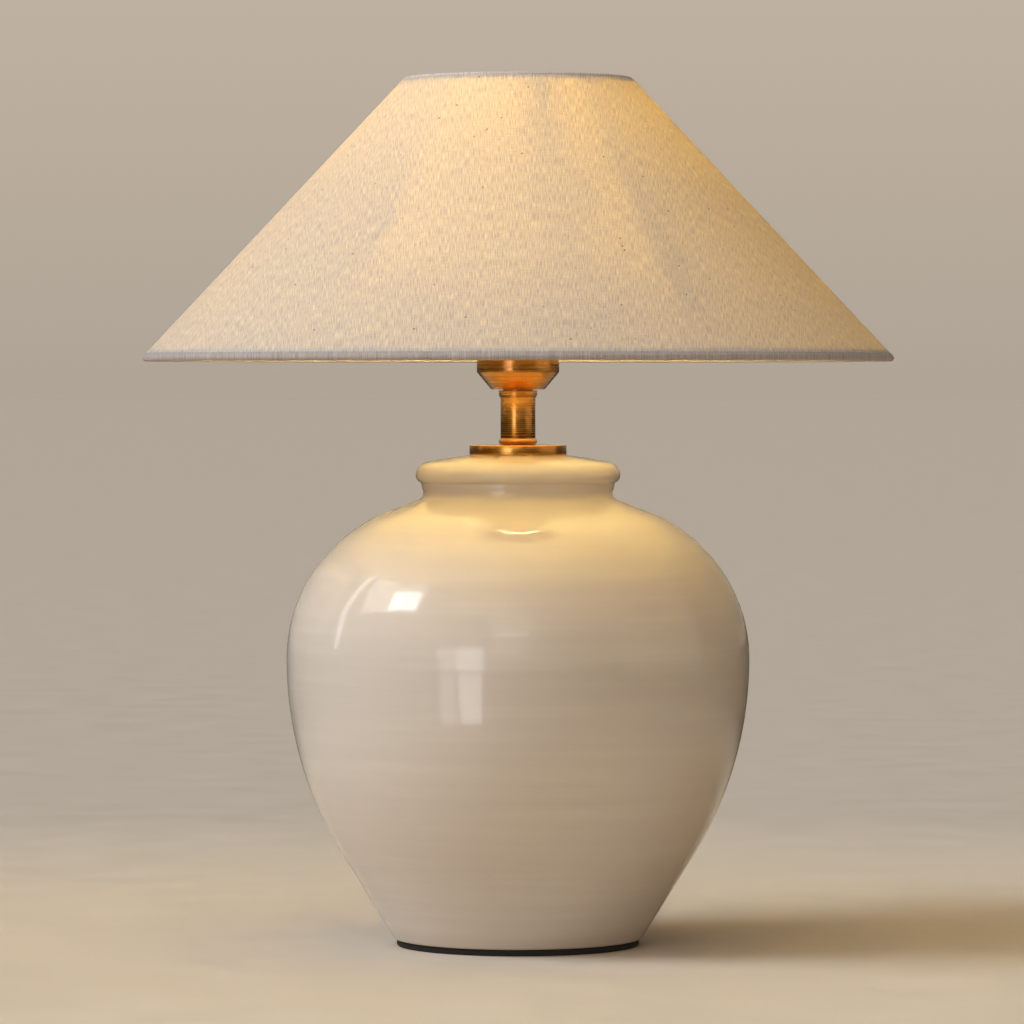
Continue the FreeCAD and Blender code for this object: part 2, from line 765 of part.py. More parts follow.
def make_arms():
    """Three bent wires from the fitter ring up to the top wire, each aimed at that wire's centre."""
    body = new_body("spider_arms")
    path = new_sketch(body, "XZ_Plane")
    begin = FreeCAD.Vector(value("arm_start"), value("arm_z"), 0)
    bend = begin + FreeCAD.Vector(value("arm_run"), 0, 0)
    centre = bend + FreeCAD.Vector(0, value("arm_bend"), 0)
    aim = FreeCAD.Vector(value("shade_top_radius"), value("shade_top_z"), 0)
    reach = aim - centre
    lean = math.atan2(reach.y, reach.x) - math.asin(value("arm_bend") / reach.Length)
    leave = centre + FreeCAD.Vector(math.sin(lean), -math.cos(lean), 0) * value("arm_bend")
    stop = aim - (aim - leave).normalize() * value("top_hem_round + seat_gap")
    path.addGeometry(Part.LineSegment(begin, bend), False)
    path.addGeometry(arc_between(bend, leave, value("arm_bend")), False)
    path.addGeometry(Part.LineSegment(leave, stop), False)
    path.addGeometry(Part.Point(aim), True)
    pin(path, 0, 1, "arm_start", "arm_z")
    constrain(path, "Horizontal", 0)
    constrain(path, "DistanceX", 0, 1, 0, 2, size="arm_run")
    constrain(path, "Tangent", 0, 2, 1, 1)
    constrain(path, "Radius", 1, size="arm_bend")
    constrain(path, "Tangent", 1, 2, 2, 1)
    pin(path, 3, 1, "shade_top_radius", "shade_top_z")
    constrain(path, "PointOnObject", 3, 1, 2)
    constrain(path, "Distance", 2, 2, 3, 1, size="top_hem_round + seat_gap")
    section = new_sketch(body, "YZ_Plane", above="arm_start")
    section.addGeometry(Part.Circle(FreeCAD.Vector(0, begin.y, 0), FreeCAD.Vector(0, 0, 1), 1), False)
    pin(section, 0, 3, "0", "arm_z")
    constrain(section, "Radius", 0, size="arm_wire")
    arm = body.newObject("PartDesign::AdditivePipe", "arm_pipe")
    arm.Profile = section
    arm.Spine = path
    repeat_round(body, arm, ARM_COUNT)
    tie(body, Placement__Rotation__Angle="arm_azimuth")
    return body


def make_lamp():
    """The lamp: eyelet, insulator and screw shell below, and a bowl with its board and dome above."""
    disc("lamp_eyelet", "eyelet_radius", "lamp_z", "eyelet_height")
    turned(
        "lamp_insulator",
        [
            ("0", "insulator_z"),
            ("eyelet_radius", "insulator_z"),
            ("insulator_radius", "shell_z"),
            ("0", "shell_z"),
        ],
    )
    shell_inner = "screw_shell_radius - screw_shell_wall"
    turned(
        "lamp_screw_shell",
        [
            ("0", "shell_z"),
            ("insulator_radius", "shell_z"),
            ("screw_shell_radius", "shell_cone_z"),
            ("screw_shell_radius", "body_z"),
            (shell_inner, "body_z"),
            (shell_inner, "shell_cone_z"),
            ("insulator_radius - screw_shell_wall", "shell_z + screw_shell_wall"),
            ("0", "shell_z + screw_shell_wall"),
        ],
    )
    rim = "lamp_radius - lamp_body_inset"
    turned(
        "lamp_bowl",
        [
            (shell_inner, "body_z"),
            ("lamp_neck_radius", "body_z"),
            ("lamp_neck_radius", "neck_top", "-lamp_hollow_round"),
            ("lamp_waist_radius", "waist_z", "lamp_swell_round"),
            (rim, "body_top"),
            (f"{rim} - lamp_wall", "body_top"),
            (f"{rim} - lamp_wall", "ledge_z"),
            ("board_radius - lamp_wall", "ledge_z"),
            ("lamp_waist_radius - lamp_wall", "waist_z", "lamp_hollow_round + lamp_wall"),
            (shell_inner, "neck_top"),
        ],
    )
    return rim


def make_lamp_inside(rim):
    """The lit dome, and the board, chips and driver under it."""
    bottom = "body_top"
    turned(
        "lamp_dome",
        [
            (f"{rim} - lamp_wall", bottom),
            (rim, bottom, "dome_foot_round"),
            ("lamp_radius", "equator_z", "lamp_radius"),
            ("0", "lamp_top"),
            ("0", "lamp_top - lamp_wall", "-(lamp_radius - lamp_wall)"),
            ("lamp_radius - lamp_wall", "equator_z"),
        ],
    )
    disc("lamp_board", "board_radius", "ledge_z", "board_thickness")
    chips = new_body("lamp_chips")
    sketch = new_sketch(chips, "XY_Plane", above="ledge_z + board_thickness")
    near, far, half = "chip_circle - chip_size / 2", "chip_circle + chip_size / 2", "chip_size / 2"
    draw_outline(sketch, [(near, f"-{half}"), (far, f"-{half}"), (far, half), (near, half)])
    raise_up(chips, sketch, "chip_height")
    repeat_round(chips, chips.Tip, CHIP_COUNT)
    driver = document.addObject("Part::Box", "lamp_driver")
    driver.Label = "lamp_driver"
    tie(
        driver,
        Length="driver_width",
        Width="driver_thickness",
        Height="driver_height",
        Placement__Base__x="-driver_width / 2",
        Placement__Base__y="-driver_thickness / 2",
        Placement__Base__z="driver_z",
    )
    pieces.append(driver)


def make_lead():
    """The lead that the lamp holds: down the rod's bore, then in a slack bend to the cord bushing."""
    lean = math.radians(value("flare_angle"))
    outward = FreeCAD.Vector(0, math.cos(lean), -math.sin(lean))
    bushing = FreeCAD.Vector(0, value("bushing_y"), value("bushing_z"))
    last = bushing + outward * (value("bushing_end") - value("seat_gap"))
    drop = value("rod_z") - last.z
    route = [
        FreeCAD.Vector(0, 0, value("spigot_z - seat_gap")),
        *(FreeCAD.Vector(0, last.y * out, last.z + drop * up) for out, up in LEAD_CORNERS),
        last - outward * value("lead_straight"),
        last,
    ]
    edges = []
    start = route[0]
    for before, corner, after in zip(route, route[1:], route[2:]):
        inward, onward = (before - corner).normalize(), (after - corner).normalize()
        half_turn = (math.pi - inward.getAngle(onward)) / 2
        trim = LEAD_BEND_SHARE * min((before - corner).Length, (after - corner).Length)
        radius = trim / math.tan(half_turn)
        print(f"lead bend of {math.degrees(2 * half_turn):.1f} degrees, radius {radius:.1f} mm")
        begin, end = corner + inward * trim, corner + onward * trim
        middle = corner + (inward + onward).normalize() * (radius / math.cos(half_turn) - radius)
        edges.append(Part.LineSegment(start, begin).toShape())
        edges.append(Part.Arc(begin, middle, end).toShape())
        start = end
    edges.append(Part.LineSegment(start, route[-1]).toShape())
    path = Part.Wire(edges)
    section = Part.Wire(Part.Circle(route[0], FreeCAD.Vector(0, 0, -1), value("lead_radius")).toShape())
    lead = document.addObject("Part::Feature", "inner_lead")
    lead.Label = "inner_lead"
    lead.Shape = path.makePipeShell([section], True, False)
    expected = math.pi * value("lead_radius") ** 2 * path.Length
    print(f"lead length {path.Length:.1f} mm, volume {lead.Shape.Volume:.1f} of {expected:.1f} mm3")
    pieces.append(lead)


disc("foot_pad", "foot_radius", "0", "pad_thickness")
make_jar()
make_bushing()
make_rod_stack()
make_brass_stack()
make_lampholder()
make_shade()
make_lamp_inside(make_lamp())
make_lead()
document.recompute()

for item in document.Objects:
    if {"Invalid", "Error"} & set(item.State):
        raise RuntimeError(f"{item.Name} failed: {item.State}")
for piece in pieces:
    if piece.Shape.isNull() or not piece.Shape.isValid():
        raise RuntimeError(f"{piece.Label} has no valid shape")

os.makedirs("parts", exist_ok=True)
for piece in pieces:
    piece.Shape.exportStep(f"parts/{piece.Label}.step")
    print(f"{piece.Label}: {len(piece.Shape.Solids)} solid(s), {piece.Shape.Volume / 1000:.2f} cm3")
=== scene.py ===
import math

import bpy
from mathutils import Euler, Matrix


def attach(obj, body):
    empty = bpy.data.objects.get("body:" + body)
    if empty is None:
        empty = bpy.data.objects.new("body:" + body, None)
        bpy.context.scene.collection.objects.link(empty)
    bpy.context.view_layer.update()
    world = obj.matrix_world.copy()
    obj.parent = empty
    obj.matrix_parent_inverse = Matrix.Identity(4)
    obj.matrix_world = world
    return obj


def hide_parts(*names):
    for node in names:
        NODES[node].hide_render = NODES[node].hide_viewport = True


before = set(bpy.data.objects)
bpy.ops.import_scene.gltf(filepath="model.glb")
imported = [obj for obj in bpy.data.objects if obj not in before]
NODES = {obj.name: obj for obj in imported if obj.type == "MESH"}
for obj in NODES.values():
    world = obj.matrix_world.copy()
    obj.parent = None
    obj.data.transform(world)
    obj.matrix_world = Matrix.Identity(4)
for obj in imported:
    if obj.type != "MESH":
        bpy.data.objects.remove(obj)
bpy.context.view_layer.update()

# Ginger jar table lamp. Lengths in this script are millimetres, and MM turns them into Blender's metres.
# The lamp's axis is the Z axis, the table is z = 0 and the front faces -Y.
MM = 0.001
# A straight edge of an outline has its points this many times further apart than a bend has
STRAIGHT_STEPS = 6
THREAD_SIDES = 48

# Heights of the faces where one part stands on the next, in millimetres
PAD_TOP = 3.8
LID_TOP = 295.1
PLATE_TOP = 301.1
STEM_FOOT_TOP = 305.1
STEM_TOP = 329.8
STEM_RING_TOP = 333.9
CUP_FOOT = 334.6
CUP_TOP = 372.0
FLANGE_TOP = 374.3
FITTER_TOP = 376.3
CLAMP_TOP = 383.3
HOLDER_TOP = 394.0
BOWL_TOP = 431.3


# ---------------------------------------------------------------------------------------------------------
# Modelling helpers
# ---------------------------------------------------------------------------------------------------------


def begin(name, add_primitive, **place):
    """Adds one primitive with nothing else selected, names it and opens it for editing."""
    bpy.ops.object.select_all(action="DESELECT")
    add_primitive(**place)
    piece = bpy.context.object
    piece.name = piece.data.name = name
    bpy.ops.object.transform_apply(location=True, rotation=True, scale=True)
    bpy.ops.object.mode_set(mode="EDIT")
    return piece


def turned(name, outline, sides, close=True):
    """Turns an outline of (radius, height) about the lamp's axis, as a potter or a lathe does."""
    piece = begin(name, bpy.ops.mesh.primitive_plane_add, size=MM)
    bpy.ops.mesh.select_mode(type="VERT")
    bpy.ops.mesh.merge(type="CENTER")
    path = outline + ([outline[0]] if close else [])
    bpy.ops.transform.translate(value=(path[0][0] * MM, 0, path[0][1] * MM))
    for (radius, height), (next_radius, next_height) in zip(path, path[1:]):
        bpy.ops.mesh.extrude_verts_indiv()
        bpy.ops.transform.translate(value=((next_radius - radius) * MM, 0, (next_height - height) * MM))
    bpy.ops.mesh.select_all(action="SELECT")
    bpy.ops.mesh.spin(steps=sides, angle=math.tau, center=(0, 0, 0), axis=(0, 0, 1))
    bpy.ops.mesh.select_all(action="SELECT")
    bpy.ops.mesh.remove_doubles(threshold=1e-6)
    bpy.ops.mesh.normals_make_consistent(inside=False)
    bpy.ops.object.mode_set(mode="OBJECT")
    return piece


def activate(piece):
    """Makes a piece the only one that is selected."""
    bpy.ops.object.select_all(action="DESELECT")
    piece.select_set(True)
    bpy.context.view_layer.objects.active = piece


def modify(piece, kind, **settings):
    """Adds a modifier, sets it and applies it."""
    activate(piece)
    bpy.ops.object.modifier_add(type=kind)
    modifier = piece.modifiers[-1]
    for name, value in settings.items():
        setattr(modifier, name, value)
    bpy.ops.object.modifier_apply(modifier=modifier.name)


def soften_edges(piece, width, segments=2, over=35):
    """Rounds the edges that a real part has rounded, by width in millimetres."""
    sharp = math.radians(over)
    modify(piece, "BEVEL", width=width * MM, segments=segments, limit_method="ANGLE", angle_limit=sharp)


def smooth(piece, angle=35):
    """Shades a piece smooth, except across edges sharper than the angle in degrees."""
    activate(piece)
    bpy.ops.object.shade_smooth_by_angle(angle=math.radians(angle))


def arc(start, end, radius, step=1.5):
    """Points of the short arc from start to end, about step apart. Its centre is on the left for a plus radius."""
    (x0, z0), (x1, z1) = start, end
    chord = math.hypot(x1 - x0, z1 - z0)
    side = math.copysign(math.sqrt(max(radius**2 - chord**2 / 4, 0)), radius) / chord
    cx, cz = (x0 + x1) / 2 - (z1 - z0) * side, (z0 + z1) / 2 + (x1 - x0) * side
    first = math.atan2(z0 - cz, x0 - cx)
    sweep = math.copysign(2 * math.asin(chord / 2 / abs(radius)), radius)
    count = max(2, round(abs(radius * sweep) / step))
    turns = [first + sweep * n / count for n in range(count)]
    return [(cx + abs(radius) * math.cos(turn), cz + abs(radius) * math.sin(turn)) for turn in turns]


def outline_of(corners, step=1.5):
    """Points along corners of (radius, height) or (radius, height, bend of the edge that leaves it)."""
    points = []
    for corner, following in zip(corners, corners[1:] + corners[:1]):
        start, end = corner[:2], following[:2]
        if len(corner) == 3:
            points += arc(start, end, corner[2], step)
        else:
            count = max(1, round(math.dist(start, end) / (STRAIGHT_STEPS * step)))
            run, rise = end[0] - start[0], end[1] - start[1]
            points += [(start[0] + run * n / count, start[1] + rise * n / count) for n in range(count)]
    return points


def join(piece, *others):
    """Makes more shells part of a piece, as welds, ribs and threads are."""
    activate(piece)
    for other in others:
        other.select_set(True)
    bpy.ops.object.join()


def raise_strip(piece, half_width, rise):
    """Raises a strip of the outer skin at the back, where cloth laps over its own end."""

    def select(wanted):
        bpy.ops.object.mode_set(mode="OBJECT")
        for face in piece.data.polygons:
            face.select = wanted(face)
        bpy.ops.object.mode_set(mode="EDIT")

    def by_the_seam(face, reach=3 * half_width):
        return face.center.y > 0 and abs(face.center.x) < reach * MM

    def on_the_strip(face):
        outward = face.normal.x * face.center.x + face.normal.y * face.center.y > 0
        return by_the_seam(face, half_width) and outward

    activate(piece)
    bpy.ops.object.mode_set(mode="EDIT")
    bpy.ops.mesh.select_all(action="DESELECT")
    select(by_the_seam)
    for side in (-1, 1):
        bpy.ops.mesh.bisect(plane_co=(side * half_width * MM, 0, 0), plane_no=(1, 0, 0))
        select(by_the_seam)
    select(on_the_strip)
    bpy.ops.mesh.extrude_region_shrink_fatten(TRANSFORM_OT_shrink_fatten={"value": rise * MM})
    bpy.ops.mesh.select_all(action="DESELECT")
    bpy.ops.object.mode_set(mode="OBJECT")


def roughen(piece, size, height):
    """Small uneven swells of the real surface, by their size and height in millimetres."""
    swells = bpy.data.textures.new(piece.name + "_swells", "CLOUDS")
    swells.noise_scale = size * MM
    modify(piece, "DISPLACE", texture=swells, strength=height * MM, mid_level=0.5)


def thread_ridge(name, root, crest, pitch, bottom, turns):
    """One start of a screw thread with its ends closed. Its root lies inside the body that it stands on."""
    ridge = begin(name, bpy.ops.mesh.primitive_plane_add, size=MM)
    bpy.ops.mesh.select_mode(type="VERT")
    bpy.ops.mesh.merge(type="CENTER")
    section = [(root, 0.0), (crest, 0.3), (crest, 0.5), (root, 0.8)]
    bpy.ops.transform.translate(value=(root * MM, 0, bottom * MM))
    for (radius, share), (next_radius, next_share) in zip(section, section[1:]):
        bpy.ops.mesh.extrude_verts_indiv()
        rise = (next_share - share) * pitch
        bpy.ops.transform.translate(value=((next_radius - radius) * MM, 0, rise * MM))
    bpy.ops.mesh.select_all(action="SELECT")
    bpy.ops.mesh.edge_face_add()
    bpy.ops.object.mode_set(mode="OBJECT")
    modify(
        ridge,
        "SCREW",
        screw_offset=pitch * MM,
        iterations=turns,
        steps=THREAD_SIDES,
        render_steps=THREAD_SIDES,
        use_merge_vertices=False,
    )
    bpy.ops.object.mode_set(mode="EDIT")
    bpy.ops.mesh.select_all(action="SELECT")
    bpy.ops.mesh.remove_doubles(threshold=1e-6)
    bpy.ops.mesh.fill_holes(sides=0)
    bpy.ops.mesh.select_all(action="SELECT")
    bpy.ops.mesh.normals_make_consistent(inside=False)
    bpy.ops.object.mode_set(mode="OBJECT")
    return ridge


def place_piece(piece, material, slot, body, *nodes):
    """Dresses a piece, and says which CAD nodes it stands for and which body it rides. The slot is not used."""
    dress(piece, material)
    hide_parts(*nodes)
    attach(piece, body)


# ---------------------------------------------------------------------------------------------------------
# Material helpers
# ---------------------------------------------------------------------------------------------------------


def colour(code):
    """Linear red, green, blue and alpha of an sRGB hex colour."""
    levels = [int(code[at:at + 2], 16) / 255 for at in (0, 2, 4)]
    return [c / 12.92 if c <= 0.04045 else ((c + 0.055) / 1.055) ** 2.4 for c in levels] + [1.0]


def add(tree, kind, inputs=None, stops=None, **settings):
    """Adds a shader node with its own settings. An input is a value, or another node's output to link."""
    made = tree.nodes.new("ShaderNode" + kind)
    for name, value in settings.items():
        setattr(made, name, value)
    for name, value in (inputs or {}).items():
        if isinstance(value, bpy.types.NodeSocket):
            tree.links.new(value, made.inputs[name])
        else:
            made.inputs[name].default_value = value
    if stops:
        while len(made.color_ramp.elements) < len(stops):
            made.color_ramp.elements.new(0.5)
        for element, (place, shade) in zip(made.color_ramp.elements, stops):
            element.position, element.color = place, shade
    return made


def new_material(name):
    """A material with an empty node tree, and that tree."""
    made = bpy.data.materials.new(name)
    made.use_nodes = True
    made.node_tree.nodes.clear()
    return made, made.node_tree


def output(tree, shader):
    """Makes a shader the material's surface."""
    add(tree, "OutputMaterial", {"Surface": shader.outputs[0]})


def dress(piece, material):
    """Gives a piece its one material."""
    piece.data.materials.clear()
    piece.data.materials.append(material)


# ---------------------------------------------------------------------------------------------------------
# Finishes
# ---------------------------------------------------------------------------------------------------------


def stoneware_glaze():
    """Oatmeal glaze, brushed on thrown stoneware and fired glossy. The body shows through in soft level
    streaks where the brush and the potter's fingers went round, under a clear wet shine."""
    made, tree = new_material("oatmeal_stoneware_glaze")
    place = add(tree, "TexCoord").outputs["Object"]
    # A streak is about 7 mm high and 150 mm long round the pot, and fades in and out in broad clouds
    stretched = add(tree, "Mapping", {"Vector": place, "Scale": (6, 6, 140)}).outputs[0]
    streaks = add(tree, "TexNoise", {"Vector": stretched, "Scale": 1.0, "Detail": 4.0, "Roughness": 0.5})
    clouds = add(tree, "TexNoise", {"Vector": place, "Scale": 11.0, "Detail": 3.0})
    both = add(tree, "Mix", {0: clouds.outputs[0], 2: 0.5, 3: streaks.outputs[0]}, data_type="FLOAT")
    tone = add(
        tree,
        "ValToRGB",
        {0: both.outputs[0]},
        stops=[(0.36, colour("CABFB3")), (0.5, colour("CDC2B6")), (0.62, colour("D1C7BA"))],
    )
    # Pinholes and specks of iron, each under 1 mm and few
    specks = add(tree, "TexVoronoi", {"Vector": place, "Scale": 55.0})
    speck = add(tree, "MapRange", {0: specks.outputs["Distance"], 1: 0.015, 2: 0.035, 3: 0.35, 4: 0.0})
    iron = colour("A8977E")
    marked = add(tree, "Mix", {0: speck.outputs[0], 6: tone.outputs[0], 7: iron}, data_type="RGBA")
    shine = add(tree, "MapRange", {0: clouds.outputs[0], 1: 0.3, 2: 0.7, 3: 0.07, 4: 0.12})
    # The thrown wall's hollows, about 20 mm across, make the edges of what it mirrors waver
    hollows = add(tree, "TexNoise", {"Vector": place, "Scale": 48.0, "Detail": 0.0})
    waver = add(tree, "Bump", {"Height": hollows.outputs[0], "Strength": 0.5, "Distance": 0.0005})
    ripple = add(
        tree,
        "Bump",
        {"Height": streaks.outputs[0], "Strength": 0.1, "Distance": 0.0004, "Normal": waver.outputs[0]},
    )
    pits = add(
        tree,
        "Bump",
        {"Height": speck.outputs[0], "Strength": 0.3, "Distance": -0.0001, "Normal": ripple.outputs[0]},
    )
    shader = add(
        tree,
        "BsdfPrincipled",
        {
            "Base Color": marked.outputs[2],
            "Roughness": shine.outputs[0],
            "Normal": pits.outputs[0],
            "IOR": 1.52,
        },
    )
    output(tree, shader)
    return made


def satin_brass():
    """Turned brass, brushed round the axis with fine grit and gone orange brown with age under lacquer. The
    brushing draws each light out into a stripe up the stem, and the lacquer adds a whiter one on top. Where two
    parts meet, it is painted darker as shade, with some tarnish."""
    made, tree = new_material("satin_aged_brass")
    place = add(tree, "TexCoord").outputs["Object"]
    level = add(tree, "VectorMath", {0: place, 1: (1, 1, 0)}, operation="MULTIPLY")
    radius = add(tree, "VectorMath", {0: level.outputs[0]}, operation="LENGTH")
    parts = add(tree, "SeparateXYZ", {0: place})
    rings = add(tree, "CombineXYZ", {0: radius.outputs["Value"], 1: parts.outputs["Z"]})
    # Grit lines are near 0.05 mm; they are drawn 0.4 mm apart so that they show
    grit = {"Vector": rings.outputs[0], "Scale": 2400.0, "Detail": 2.0, "Roughness": 0.7}
    lines = add(tree, "TexNoise", grit)
    clouds = add(tree, "TexNoise", {"Vector": place, "Scale": 60.0, "Detail": 4.0})
    age = add(
        tree,
        "ValToRGB",
        {0: clouds.outputs[0]},
        stops=[(0.3, colour("BC7C2B")), (0.55, colour("CF9035")), (0.8, colour("DA9E43"))],
    )
    # Painted shade, with some brown tarnish, where two parts meet: darker on the stem's foot ring and under the
    # cup
    height = add(tree, "MapRange", {0: parts.outputs["Z"], 1: LID_TOP * MM, 2: 0.375})
    corner = add(
        tree,
        "ValToRGB",
        {0: height.outputs[0]},
        stops=[
            (0.07, (0, 0, 0, 1)),
            (0.085, (1, 1, 1, 1)),
            (0.12, (0.8, 0.8, 0.8, 1)),
            (0.16, (0, 0, 0, 1)),
            (0.46, (0, 0, 0, 1)),
            (0.5, (0.8, 0.8, 0.8, 1)),
            (0.6, (0, 0, 0, 1)),
        ],
    )
    # The brown of the painted shade and tarnish
    tarnish_and_shade = colour("8A5A24")
    aged_and_shaded = add(tree, "Mix", {0: corner.outputs[0], 6: age.outputs[0], 7: tarnish_and_shade}, data_type="RGBA")
    worn = add(tree, "MapRange", {0: lines.outputs[0], 1: 0.3, 2: 0.7, 3: 0.22, 4: 0.32})
    brushed = add(tree, "Bump", {"Height": lines.outputs[0], "Strength": 0.4, "Distance": 0.00005})
    shader = add(
        tree,
        "BsdfPrincipled",
        {
            "Base Color": aged_and_shaded.outputs[2],
            "Metallic": 1.0,
            "Roughness": worn.outputs[0],
            "Normal": brushed.outputs[0],
            "Coat Weight": 0.7,
            "Coat Roughness": 0.16,
            "Coat IOR": 1.5,
        },
    )
    output(tree, shader)
    return made


def linen_threads(tree):
    """Height and tone of plain-woven linen on a flat pattern in metres: thick and thin threads both ways,
    with small dark nubs of flax. Threads are 0.4 mm wide."""
    flat = add(tree, "UVMap", uv_map="flat_pattern").outputs[0]
    along = add(tree, "Mapping", {"Vector": flat, "Scale": (2500, 130, 1)}).outputs[0]
    across = add(tree, "Mapping", {"Vector": flat, "Scale": (130, 2500, 1)}).outputs[0]
    warp = add(tree, "TexNoise", {"Vector": along, "Scale": 1.0, "Detail": 1.0})
    weft = add(tree, "TexNoise", {"Vector": across, "Scale": 1.0, "Detail": 1.0})
    woven = add(tree, "Mix", {0: 0.25, 2: warp.outputs[0], 3: weft.outputs[0]}, data_type="FLOAT")
    nubs = add(tree, "TexVoronoi", {"Vector": flat, "Scale": 85.0, "Randomness": 1.0})
    nub = add(tree, "MapRange", {0: nubs.outputs["Distance"], 1: 0.03, 2: 0.07, 3: 1.0, 4: 0.0})
    return woven.outputs[0], nub.outputs[0]


def natural_linen(name, light, dark, glow):
    """Unbleached linen on stiff backing: matt and slubby, and glow is the share of the lamp's light that it
    lets through."""
    made, tree = new_material(name)
    woven, nub = linen_threads(tree)
    tone = add(tree, "ValToRGB", {0: woven}, stops=[(0.36, colour(dark)), (0.64, colour(light))])
    fleck = add(tree, "Mix", {0: nub, 6: tone.outputs[0], 7: colour("A8937A")}, data_type="RGBA")
    raised = add(tree, "Bump", {"Height": woven, "Strength": 0.6, "Distance": 0.0006})
    cloth = add(
        tree,
        "BsdfPrincipled",
        {
            "Base Color": fleck.outputs[2],
            "Roughness": 0.9,
            "Sheen Weight": 0.15,
            "Sheen Roughness": 0.5,
            "Normal": raised.outputs[0],
        },
    )
    # Light that goes through picks up the flax's own yellow
    flax = (1.0, 0.88, 0.36, 1.0)
    warmed = add(tree, "Mix", {0: 1.0, 6: fleck.outputs[2], 7: flax}, data_type="RGBA", blend_type="MULTIPLY")
    through = add(tree, "BsdfTranslucent", {"Color": warmed.outputs[2], "Normal": raised.outputs[0]})
    output(tree, add(tree, "MixShader", {0: glow, 1: cloth.outputs[0], 2: through.outputs[0]}))
    return made


def lining():
    """White styrene sheet behind the linen: a little glossy, with a faint pressed grain, and it scatters the
    light that goes through it."""
    made, tree = new_material("white_styrene_lining")
    place = add(tree, "TexCoord").outputs["Object"]
    grain = add(tree, "TexNoise", {"Vector": place, "Scale": 700.0, "Detail": 2.0})
    tone = add(tree, "ValToRGB", {0: grain.outputs[0]}, stops=[(0.3, colour("F1ECE2")), (0.7, colour("F8F4EC"))])
    pressed = add(tree, "Bump", {"Height": grain.outputs[0], "Strength": 0.2, "Distance": 0.0001})
    face = add(
        tree,
        "BsdfPrincipled",
        {"Base Color": tone.outputs[0], "Roughness": 0.5, "Normal": pressed.outputs[0], "IOR": 1.59},
    )
    through = add(tree, "BsdfTranslucent", {"Color": colour("FFF6D8")})
    output(tree, add(tree, "MixShader", {0: 0.6, 1: face.outputs[0], 2: through.outputs[0]}))
    return made


def plain_finish(name, light, dark, grain, roughness, relief, metallic=0.0, ior=1.5):
    """A finish with one grain size in millimetres: its tone, its gloss and its relief all follow the grain."""
    made, tree = new_material(name)
    place = add(tree, "TexCoord").outputs["Object"]
    noise = add(tree, "TexNoise", {"Vector": place, "Scale": 1 / (grain * MM), "Detail": 3.0}).outputs[0]
    tone = add(tree, "ValToRGB", {0: noise}, stops=[(0.3, colour(dark)), (0.7, colour(light))])
    gloss = add(tree, "MapRange", {0: noise, 1: 0.3, 2: 0.7, 3: roughness * 0.85, 4: roughness * 1.15})
    bump = add(tree, "Bump", {"Height": noise, "Strength": 0.4, "Distance": relief * MM})
    shader = add(
        tree,
        "BsdfPrincipled",
        {
            "Base Color": tone.outputs[0],
            "Metallic": metallic,
            "Roughness": gloss.outputs[0],
            "Normal": bump.outputs[0],
            "IOR": ior,
        },
    )
    output(tree, shader)
    return made


def opal_dome():
    """Opal polycarbonate over the chips, lit from inside. A small lamp within it does most of the lighting."""
    made, tree = new_material("lit_opal_dome")
    place = add(tree, "TexCoord").outputs["Object"]
    haze = add(tree, "TexNoise", {"Vector": place, "Scale": 90.0, "Detail": 2.0})
    warm = [(0.3, colour("FFE8A4")), (0.7, colour("FFEBAE"))]
    tone = add(tree, "ValToRGB", {0: haze.outputs[0]}, stops=warm)
    shader = add(
        tree,
        "BsdfPrincipled",
        {
            "Base Color": colour("F4EEE2"),
            "Roughness": 0.35,
            "IOR": 1.58,
            "Emission Color": tone.outputs[0],
            "Emission Strength": 24.0,
        },
    )
    output(tree, shader)
    return made


# The shares of the lamp's light that the wall's cloth and the thicker hems let through
LINEN_THROUGH = 0.52
HEM_THROUGH = 0.1
GLAZE = stoneware_glaze()
BRASS = satin_brass()
LINEN = natural_linen("natural_linen", "FFFEFF", "D8D6DB", LINEN_THROUGH)
# The bottom hem is the top hem's linen, painted darker as shade because it faces down, away from the light
HEM_SHADED = natural_linen("natural_linen_hem_shaded", "CABEB6", "9E938D", HEM_THROUGH)
RIM = natural_linen("natural_linen_rim", "F1E2D8", "C9B8AE", HEM_THROUGH)
LINING = lining()
DOME = opal_dome()
# Closed-cell foam: dull, with fine open bubbles where it was cut
PAD = plain_finish("cut_foam_rubber", "1D1B1A", "100F0E", 0.8, 0.85, 0.12)
# Powder coat on steel wire and pressings: an even orange peel
COAT = plain_finish("white_powder_coat", "EFEBE2", "E2DDD2", 0.7, 0.45, 0.05)
# Phenolic, moulded: brown black, with a faint flow mark and a worn gloss
PHENOLIC = plain_finish("black_phenolic", "1B1817", "100E0D", 2.5, 0.4, 0.02)
# Polycarbonate, moulded: clean white with a light spark-eroded grain
SHELL = plain_finish("white_polycarbonate", "F1EFEA", "E8E5DF", 0.5, 0.4, 0.03, ior=1.58)
STEATITE = plain_finish("pressed_steatite", "E4DFD3", "D3CCBD", 1.2, 0.6, 0.05, ior=1.6)
ZINC = plain_finish("zinc_plated_steel", "C3C4C6", "A9A9AB", 1.5, 0.32, 0.02, metallic=1.0)
BRIGHT = plain_finish("rolled_aluminium", "D2D3D4", "BFC0C1", 0.9, 0.28, 0.02, metallic=1.0)
RUBBER = plain_finish("moulded_rubber", "242322", "171615", 1.0, 0.7, 0.05)
BUSH = plain_finish("moulded_nylon_bushing", "201E1D", "151413", 0.9, 0.5, 0.03)
CHIP = plain_finish("phosphor_resin", "F0C948", "E2B935", 0.4, 0.3, 0.02)
CARD = plain_finish("green_circuit_board", "2C6A3A", "1F552C", 1.0, 0.45, 0.02)
FOIL = plain_finish("white_masked_aluminium_board", "ECECE8", "DEDEDA", 0.8, 0.4, 0.02)
GLASS_RING = plain_finish("black_glass_insulator", "15151A", "0B0B0F", 0.9, 0.12, 0.01)
